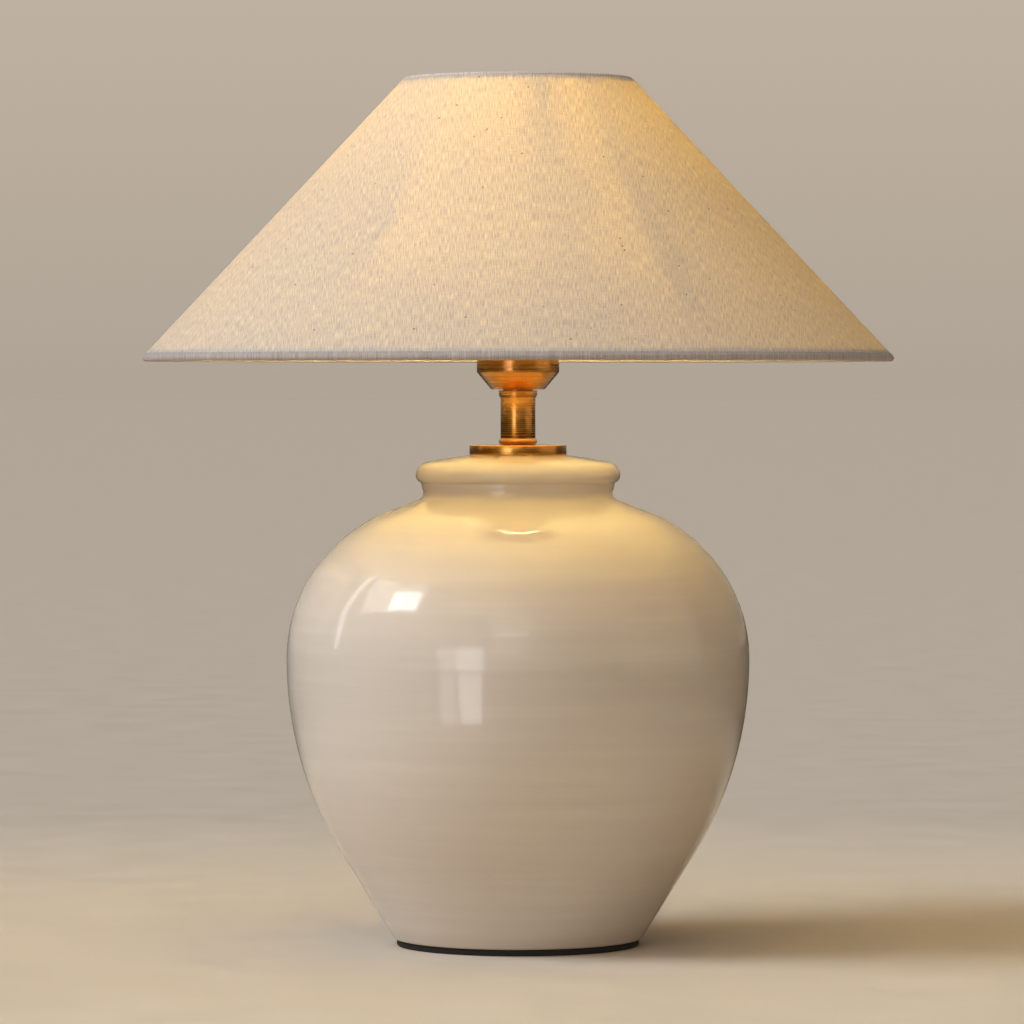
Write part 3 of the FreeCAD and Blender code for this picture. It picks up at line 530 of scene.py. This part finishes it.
SLEEVE = plain_finish("pvc_sheath", "DAD4C8", "CFC8BB", 0.8, 0.5, 0.02)

# ---------------------------------------------------------------------------------------------------------
# Jar and foot
# ---------------------------------------------------------------------------------------------------------

PLATE_RADIUS = 29.2
FOOT_RADIUS = 73.0
# The bushing's hole goes square through the flared wall, at the back and near the foot
FLARE = math.radians(31.7)
BUSHING_HOLE = (0, 93.214 * MM, 33.8 * MM)
BUSHING_RADIUS = 5.1
# The jar's outline, from inside the foot's ring up the outside and back down the inside
JAR_OUTSIDE = [
    (40.0, PAD_TOP),
    (73.01, PAD_TOP, 3.0),
    (75.57, 5.22),
    (105.73, 54.07, 225.0),
    (139.3, 172.3, 95.0),
    (78.96, 260.75),
    (59.76, 268.28, -4.5),
    (57.71, 275.05),
    (58.31, 278.3, 5.0),
    (61.6, 283.0, 8.0),
    (55.26, 290.83, 250.0),
    (PLATE_RADIUS, LID_TOP),
    (6.0, LID_TOP),
]
JAR_INSIDE = [
    (6.0, 288.1),
    (42.4, 288.1, -8.0),
    (50.4, 280.1),
    (50.4, 272.47, 11.0),
    (57.39, 262.22),
    (76.59, 254.7, -88.5),
    (132.8, 172.3, -218.5),
    (100.2, 57.48),
    (71.99, 11.8),
    (40.0, 11.8),
]
jar = turned("jar_glazed", outline_of(JAR_OUTSIDE + JAR_INSIDE, 2.0), 192)
cutter = begin(
    "bushing_hole_cutter",
    bpy.ops.mesh.primitive_cylinder_add,
    vertices=64,
    radius=BUSHING_RADIUS * MM,
    depth=30 * MM,
    location=BUSHING_HOLE,
    rotation=(math.pi / 2 + FLARE, 0, 0),
)
bpy.ops.object.mode_set(mode="OBJECT")
modify(jar, "BOOLEAN", operation="DIFFERENCE", solver="EXACT", object=cutter)
bpy.data.objects.remove(cutter)
smooth(jar, 40)
place_piece(jar, GLAZE, "glaze", "base", "jar_body")

pad_outline = [(0, 0), (FOOT_RADIUS, 0), (FOOT_RADIUS, PAD_TOP), (0, PAD_TOP)]
pad = turned("foot_pad_foam", pad_outline, 128, close=False)
soften_edges(pad, 0.9, 3)
smooth(pad)
place_piece(pad, PAD, "pad", "base", "foot_pad")

# ---------------------------------------------------------------------------------------------------------
# Brass
# ---------------------------------------------------------------------------------------------------------

BORE = 5.3
STEM_RADIUS = 10.5
RING_RADIUS = 11.6
CUP_RADIUS = 24.8
CUP_INNER_RADIUS = 23.8
CUP_FLOOR = 335.6
# Each turning is the node that it stands for, its outline and the width of its rounded edges
BRASS_TURNINGS = {
    "plate_turned": (
        "cap_plate",
        [(BORE, LID_TOP), (PLATE_RADIUS, LID_TOP), (PLATE_RADIUS, PLATE_TOP), (BORE, PLATE_TOP)],
        0.5,
    ),
    "stem_foot_turned": (
        "stem_foot_ring",
        outline_of(
            [
                (BORE, PLATE_TOP),
                (10.4, PLATE_TOP, 4.0),
                (RING_RADIUS, 303.1, 4.0),
                (STEM_RADIUS, STEM_FOOT_TOP),
                (BORE, STEM_FOOT_TOP),
            ],
            0.4,
        ),
        0.15,
    ),
    "stem_turned": (
        "stem_tube",
        [(BORE, STEM_FOOT_TOP), (STEM_RADIUS, STEM_FOOT_TOP), (STEM_RADIUS, STEM_TOP), (BORE, STEM_TOP)],
        0.1,
    ),
    "stem_top_turned": (
        "stem_top_ring",
        [
            (BORE, STEM_TOP),
            (11.2, STEM_TOP),
            (11.2, 331.0),
            (RING_RADIUS, 331.6),
            (RING_RADIUS, STEM_RING_TOP),
            (BORE, STEM_RING_TOP),
        ],
        0.4,
    ),
    "cup_turned": (
        "socket_cup",
        [
            (BORE, CUP_FOOT),
            (16.1, CUP_FOOT),
            (CUP_RADIUS, 345.0),
            (CUP_RADIUS, CUP_TOP),
            (CUP_INNER_RADIUS, CUP_TOP),
            (CUP_INNER_RADIUS, 345.2),
            (15.4, CUP_FLOOR),
            (BORE, CUP_FLOOR),
        ],
        0.4,
    ),
}
for name, (node, outline, edge) in BRASS_TURNINGS.items():
    piece = turned(name, outline, 128)
    soften_edges(piece, edge, 3)
    smooth(piece, 30)
    place_piece(piece, BRASS, "brass", "base", node)

# ---------------------------------------------------------------------------------------------------------
# Shade
# ---------------------------------------------------------------------------------------------------------

# The middle of each wire ring's section, as (radius, height); the shade's wall is straight between the two
BOTTOM_WIRE = (223.6, 353.5)
TOP_WIRE = (67.2, 520.3)
SLANT = math.dist(BOTTOM_WIRE, TOP_WIRE)
SLOPE = ((TOP_WIRE[0] - BOTTOM_WIRE[0]) / SLANT, (TOP_WIRE[1] - BOTTOM_WIRE[1]) / SLANT)


def on_slope(along, out):
    """A point of the shade's wall: up the slope from the bottom wire, and square out from it."""
    return (
        BOTTOM_WIRE[0] + SLOPE[0] * along + SLOPE[1] * out,
        BOTTOM_WIRE[1] + SLOPE[1] * along - SLOPE[0] * out,
    )


def shade_skin(name, inner, outer, first, last, rows=24):
    """One layer of the shade's wall between two distances up the slope."""
    steps = [first + (last - first) * n / rows for n in range(rows + 1)]
    inside = [on_slope(along, inner) for along in steps]
    outside = [on_slope(along, outer) for along in reversed(steps)]
    return turned(name, inside + outside, 192)


def lay_pattern(piece):
    """Gives a cone's cloth the coordinates of its flat pattern in metres, with the seam at the back."""
    while piece.data.uv_layers:
        piece.data.uv_layers.remove(piece.data.uv_layers[0])
    layer = piece.data.uv_layers.new(name="flat_pattern").data
    half_angle = -SLOPE[0]
    apex = BOTTOM_WIRE[1] + BOTTOM_WIRE[0] * SLOPE[1] / half_angle
    for face in piece.data.polygons:
        middle = math.atan2(face.center.x, -face.center.y)
        for loop in face.loop_indices:
            point = piece.data.vertices[piece.data.loops[loop].vertex_index].co
            turn = math.atan2(point.x, -point.y)
            turn += math.tau * round((middle - turn) / math.tau)
            reach = math.hypot(point.x, point.y) / half_angle
            layer[loop].uv = (reach * math.sin(turn * half_angle), -reach * math.cos(turn * half_angle))


SKIN_END = 226.8
linen = shade_skin("shade_linen", 1.35, 1.85, 1.3, SKIN_END)
raise_strip(linen, 5.0, 0.45)
smooth(linen, 20)
lay_pattern(linen)
place_piece(linen, LINEN, "linen", "shade", "linen_cover")

liner = shade_skin("shade_lining", 0.85, 1.3, 2.55, SKIN_END)
smooth(liner, 30)
place_piece(liner, LINING, "liner", "shade", "shade_liner")

RING_BORE = 19.7
FITTER_RADIUS = 33.0
ARMS = 3
FIRST_ARM = -80
fitter = turned(
    "fitter_ring_stamped",
    [(RING_BORE, FLANGE_TOP), (FITTER_RADIUS, FLANGE_TOP), (FITTER_RADIUS, FITTER_TOP), (RING_BORE, FITTER_TOP)],
    128,
)
soften_edges(fitter, 0.5, 3)
welds = []
for arm in range(ARMS):
    turn = math.radians(FIRST_ARM + 360 / ARMS * arm)
    for side in (-1, 1):
        bead = begin("weld_bead", bpy.ops.mesh.primitive_ico_sphere_add, subdivisions=3, radius=MM)
        bpy.ops.transform.resize(value=(3.4, 1.3, 1.1))
        bpy.ops.transform.translate(value=(29.0 * MM, side * 2.0 * MM, 376.5 * MM))
        bpy.ops.transform.rotate(value=turn, orient_axis="Z", center_override=(0, 0, 0))
        bpy.ops.object.mode_set(mode="OBJECT")
        roughen(bead, 0.9, 0.3)
        welds.append(bead)
join(fitter, *welds)
smooth(fitter, 40)
place_piece(fitter, COAT, "white_metal", "shade", "fitter_ring")

clamp = turned(
    "clamp_ring_ribbed",
    [
        (RING_BORE, FITTER_TOP),
        (26.0, FITTER_TOP),
        (26.0, 378.5),
        (22.4, 378.5),
        (22.4, CLAMP_TOP),
        (RING_BORE, CLAMP_TOP),
    ],
    144,
)
soften_edges(clamp, 0.35, 3)
CLAMP_RIBS = 40
ribs = begin("clamp_ring_ribs", bpy.ops.mesh.primitive_cube_add, size=MM)
bpy.ops.transform.resize(value=(1.3, 1.1, 4.6))
bpy.ops.transform.translate(value=(22.5 * MM, 0, 380.5 * MM))
bpy.ops.mesh.select_all(action="SELECT")
bpy.ops.mesh.bevel(offset=0.3 * MM, segments=2)
bpy.ops.mesh.select_all(action="SELECT")
bpy.ops.mesh.spin(steps=CLAMP_RIBS, angle=math.tau, center=(0, 0, 0), axis=(0, 0, 1), dupli=True)
bpy.ops.mesh.select_all(action="SELECT")
bpy.ops.mesh.remove_doubles(threshold=1e-6)
bpy.ops.object.mode_set(mode="OBJECT")
join(clamp, ribs)
smooth(clamp, 40)
place_piece(clamp, PHENOLIC, "holder_plastic", "clamp_ring", "shade_clamp_ring")

# ---------------------------------------------------------------------------------------------------------
# Lampholder
# ---------------------------------------------------------------------------------------------------------

skirt = turned(
    "holder_skirt_threaded",
    [
        (17.4, 352.0),
        (19.6, 352.0),
        (19.6, 372.3),
        (24.5, 372.3),
        (24.5, FLANGE_TOP),
        (18.9, FLANGE_TOP),
        (18.9, 393.2),
        (18.1, HOLDER_TOP),
        (14.3, HOLDER_TOP),
        (13.5, 393.2),
        (13.5, 364.0),
        (17.4, 364.0),
    ],
    128,
)
soften_edges(skirt, 0.3, 2)
join(skirt, thread_ridge("skirt_thread", 18.7, 19.6, 2.3, 375.2, 7))
smooth(skirt, 40)
place_piece(skirt, PHENOLIC, "holder_plastic", "base", "holder_skirt")

# ---------------------------------------------------------------------------------------------------------
# Hems
# ---------------------------------------------------------------------------------------------------------

TAPE = 0.45


def hem_section(from_bottom, wire, roll, over, tail):
    """The tape's section where it wraps a wire: over the cloth outside, round the wire, and in over the lining.
    It is drawn in distances from the wire, up the cloth and out from it: wire and roll are the tape's inner and
    outer radius round it, over and tail are how far up the tape goes outside and inside."""
    first = 90 if over else 25
    outer = [math.radians(turn) for turn in range(first, 321, 15)]
    inner = [math.radians(turn) for turn in range(320, first - 1, -15)]
    places = [(over, roll)] if over else []
    places += [(roll * math.cos(turn), roll * math.sin(turn)) for turn in outer]
    places += [(3.4, 0.35), (tail, 0.35), (tail, 0.8), (3.2, 0.8)]
    places += [(wire * math.cos(turn), wire * math.sin(turn)) for turn in inner]
    if over:
        places += [(over, roll - TAPE)]
    return [on_slope(up if from_bottom else SLANT - up, out) for up, out in places]


for name, node, (radius, height), section, width, sides, cloth in (
    ("hem_top", "top_hem_roll", TOP_WIRE, hem_section(False, 1.25, 1.7, 0.0, 4.0), 11.5, 320, RIM),
    ("hem_bottom", "bottom_hem_roll", BOTTOM_WIRE, hem_section(True, 1.65, 2.15, 1.9, 4.6), 14.0, 700, HEM_SHADED),
):
    hem = turned(name, section, sides)
    raise_strip(hem, 6.0, 0.3)
    roughen(hem, 2.0, 0.25)
    smooth(hem, 60)
    lay_pattern(hem)
    place_piece(hem, cloth, "hem", "shade", node)

# ---------------------------------------------------------------------------------------------------------
# Lamp
# ---------------------------------------------------------------------------------------------------------

dome = turned(
    "lamp_dome_opal",
    outline_of(
        [
            (27.9, BOWL_TOP),
            (29.5, BOWL_TOP, 90.0),
            (30.0, 442.3, 30.0),
            (0.0, 472.3),
            (0.0, 470.7, -28.4),
            (28.4, 442.3),
        ],
        3.0,
    ),
    64,
)
bowl = turned(
    "lamp_bowl_moulded",
    outline_of(
        [
            (12.7, 394.3),
            (14.8, 394.3),
            (14.8, 399.3, -45.0),
            (22.5, 414.3, 60.0),
            (29.1, 429.6),
            (28.7, 430.0),
            (28.7, 430.5),
            (29.4, 430.9),
            (29.4, BOWL_TOP),
            (27.9, BOWL_TOP),
            (27.9, 428.3),
            (23.9, 428.3),
            (20.9, 414.3, 46.6),
            (12.7, 399.3),
        ],
        2.0,
    ),
    96,
)
smooth(bowl, 30)
place_piece(bowl, SHELL, "lamp_plastic", "lamp", "lamp_bowl")
smooth(dome, 50)
place_piece(dome, DOME, "lamp_dome", "lamp", "lamp_dome")

# ---------------------------------------------------------------------------------------------------------
# Pieces whose CAD shape is right
# ---------------------------------------------------------------------------------------------------------

for node, material in {
    "cord_bushing": BUSH,
    "rubber_washer": RUBBER,
    "clamp_washer": ZINC,
    "spring_washer": ZINC,
    "clamp_nut": ZINC,
    "threaded_rod": ZINC,
    "cup_washer": BRASS,
    "holder_cap": PHENOLIC,
    "contact_block": STEATITE,
    "centre_contact": BRASS,
    "side_contact": BRASS,
    "terminal_screws": BRASS,
    "inner_lead": SLEEVE,
    "top_wire_ring": ZINC,
    "bottom_wire_ring": ZINC,
    "spider_arms": COAT,
    "lamp_eyelet": BRIGHT,
    "lamp_insulator": GLASS_RING,
    "lamp_screw_shell": BRIGHT,
    "lamp_driver": CARD,
    "lamp_board": FOIL,
    "lamp_chips": CHIP,
}.items():
    dress(NODES[node], material)

# ---------------------------------------------------------------------------------------------------------
# Stage, light and camera
# ---------------------------------------------------------------------------------------------------------

FLOOR_SIDE = 400
# The backdrop's foot has the floor's own far colour, so that no line shows between them
HORIZON = "AFA496"
JAR_FRONT = 0.135
LAMP_LIGHT_HEIGHT = 0.462


def pale_floor():
    """A plain matt floor. Past about a metre, shiny surfaces mirror a dim room in its place."""
    made = plain_finish("pale_floor", "D2C5B4", "CDC0AE", 60.0, 0.8, 0.0)
    tree = made.node_tree
    place = add(tree, "TexCoord").outputs["Object"]
    reach = add(tree, "VectorMath", {0: place}, operation="LENGTH")
    far = add(tree, "MapRange", {0: reach.outputs["Value"], 1: 0.5, 2: 1.1})
    glossy = add(tree, "LightPath").outputs["Is Glossy Ray"]
    dim = add(tree, "Math", {0: far.outputs[0], 1: glossy}, operation="MULTIPLY")
    plain = next(node for node in tree.nodes if node.type == "BSDF_PRINCIPLED")
    dark = add(tree, "Emission", {"Color": (0.06, 0.05, 0.04, 1.0)})
    final = next(node for node in tree.nodes if node.type == "OUTPUT_MATERIAL")
    mixed = add(tree, "MixShader", {0: dim.outputs[0], 1: plain.outputs[0], 2: dark.outputs[0]})
    tree.links.new(mixed.outputs[0], final.inputs["Surface"])
    return made


floor = begin("floor", bpy.ops.mesh.primitive_plane_add, size=FLOOR_SIDE)
bpy.ops.object.mode_set(mode="OBJECT")
dress(floor, pale_floor())


def pale_room():
    """A plain pale backdrop for the camera, and dim warm walls for the rest, brighter towards the window."""
    world = bpy.data.worlds.new("pale_room")
    bpy.context.scene.world = world
    world.use_nodes = True
    tree = world.node_tree
    tree.nodes.clear()
    towards = add(tree, "TexCoord").outputs["Generated"]
    height = add(tree, "SeparateXYZ", {0: towards}).outputs["Z"]
    backdrop = add(
        tree,
        "ValToRGB",
        {0: add(tree, "MapRange", {0: height, 1: 0.0, 2: 0.1}).outputs[0]},
        stops=[(0.0, colour(HORIZON)), (1.0, colour("C6B7A6"))],
    )
    window_side = add(tree, "VectorMath", {0: towards, 1: (-0.62, -0.7, 0.35)}, operation="DOT_PRODUCT")
    walls = add(
        tree,
        "ValToRGB",
        {0: add(tree, "MapRange", {0: window_side.outputs["Value"], 1: -1.0, 2: 1.0}).outputs[0]},
        stops=[(0.0, (0.12, 0.09, 0.06, 1)), (0.5, (0.26, 0.215, 0.165, 1)), (1.0, (0.42, 0.37, 0.31, 1))],
    )
    front = add(tree, "VectorMath", {0: towards, 1: (0, -1, 0)}, operation="DOT_PRODUCT")
    # What shiny surfaces mirror: the wall behind, dim sides, and the room in front
    mirrored = add(
        tree,
        "ValToRGB",
        {0: add(tree, "MapRange", {0: front.outputs["Value"], 1: -1.0, 2: 1.0}).outputs[0]},
        stops=[
            (0.0, (0.3, 0.26, 0.21, 1)),
            (0.3, (0.08, 0.06, 0.045, 1)),
            (0.6, (0.1, 0.08, 0.06, 1)),
            (1.0, (0.36, 0.32, 0.28, 1)),
        ],
    )
    path = add(tree, "LightPath").outputs
    unseen = {0: path["Is Glossy Ray"], 6: walls.outputs[0], 7: mirrored.outputs[0]}
    room = add(tree, "Mix", unseen, data_type="RGBA")
    seen = {0: path["Is Camera Ray"], 6: room.outputs[2], 7: backdrop.outputs[0]}
    shade = add(tree, "Mix", seen, data_type="RGBA")
    sky = add(tree, "Background", {"Color": shade.outputs[2], "Strength": 1.0})
    add(tree, "OutputWorld", {"Surface": sky.outputs[0]})


def aim(data, direction, distance, middle, roll=0.0):
    """Puts a light round the lamp and turns it to face it. Direction is in degrees: round from the front, where
    left is minus, then up. Roll turns it in its own plane."""
    round_, up = (math.radians(angle) for angle in direction)
    made = bpy.data.objects.new(data.name, data)
    bpy.context.scene.collection.objects.link(made)
    facing = Euler((math.pi / 2 - up, 0, round_)).to_matrix() @ Matrix.Rotation(math.radians(roll), 3, "Z")
    made.rotation_euler = facing.to_euler()
    made.location = (
        math.sin(round_) * math.cos(up) * distance,
        -math.cos(round_) * math.cos(up) * distance,
        middle + math.sin(up) * distance,
    )
    made.visible_camera = False
    return made


def daylight(name, direction, spread, strength, tint):
    """Soft far light for matt surfaces. The panels stand in for it in what shiny surfaces mirror."""
    data = bpy.data.lights.new(name, "SUN")
    data.angle, data.energy, data.color = math.radians(spread), math.pi * strength, tint
    aim(data, direction, 3.0, 0.2).visible_glossy = False


def panel(name, direction, distance, middle, size, brightness, tint=(1.0, 0.97, 0.94), roll=0.0):
    """A soft panel that only shiny surfaces mirror. A brightness of 1 is a white wall's."""
    data = bpy.data.lights.new(name, "AREA")
    data.shape = "RECTANGLE"
    data.size, data.size_y = size
    data.energy = brightness * math.pi * size[0] * size[1]
    data.color = tint
    aim(data, direction, distance, middle, roll).visible_diffuse = False


pale_room()
# The light of the chips starts inside the dome, which lets it all through
lamp_light = bpy.data.lights.new("lamp_light", "POINT")
lamp_light.energy, lamp_light.shadow_soft_size = 4.2, 12 * MM
lamp_light.color = (1.0, 0.82, 0.4)
aim(lamp_light, (0, 0), 0.0, LAMP_LIGHT_HEIGHT).visible_glossy = False
dome.visible_shadow = False
daylight("window", (-75, 40), 30, 0.66, (0.88, 1.0, 1.15))
daylight("room_front", (-15, 25), 60, 0.2, (1.0, 0.9, 0.79))
panel("window_pane", (-78.5, 37.5), 2.2, 0.2, (1.2, 0.72), 2.4, roll=15)
panel("window_sky", (-69, 36.4), 2.19, 0.2, (0.52, 0.42), 9.0, roll=17)
panel("window_edge", (-103, 25), 2.2, 0.2, (0.12, 1.6), 3.0, roll=6.5)
# A glazed door on the left, as the jar mirrors it: two bays, each a tall far panel over a low near one. Both
# are as wide as the bay's angle seen from the jar's front.
for side, near_side, width, brightness in ((-23.0, -20.8, 13.0, 3.5), (-34.0, -30.8, 9.6, 1.7)):
    for turn, middle, distance, tall in ((side, 0.34, 2.0, 0.55), (near_side, 0.07, 0.55, 0.14)):
        wide = 2 * (distance - JAR_FRONT) * math.tan(math.radians(width / 2))
        panel("door_left", (turn, 0), distance, middle, (wide, tall), brightness, (1.0, 0.94, 0.93))
panel("door_front", (-3.5, 22), 2.2, 0.2, (0.74, 1.1), 0.7)
panel("door_head", (-2.5, 20.7), 2.19, 0.2, (0.64, 0.08), 2.5)
panel("wall_right", (76, 22), 2.4, 0.2, (2.4, 2.6), 0.5, (1.0, 0.85, 0.68))

# The camera is 3.4 m away, level with the cup's foot, and sees about 10 degrees
CAMERA_PLACE = (-0.0036, -3.4, 0.34)
CAMERA_TILT = math.radians(88.665)
camera_data = bpy.data.cameras.new("photo_camera")
camera_data.sensor_width = 36
camera_data.lens = 198.6
camera_data.clip_end = 100
camera = bpy.data.objects.new("photo_camera", camera_data)
bpy.context.scene.collection.objects.link(camera)
camera.location = CAMERA_PLACE
camera.rotation_euler = (CAMERA_TILT, 0, 0)
bpy.context.scene.camera = camera
bpy.context.scene.view_settings.view_transform = "Standard"
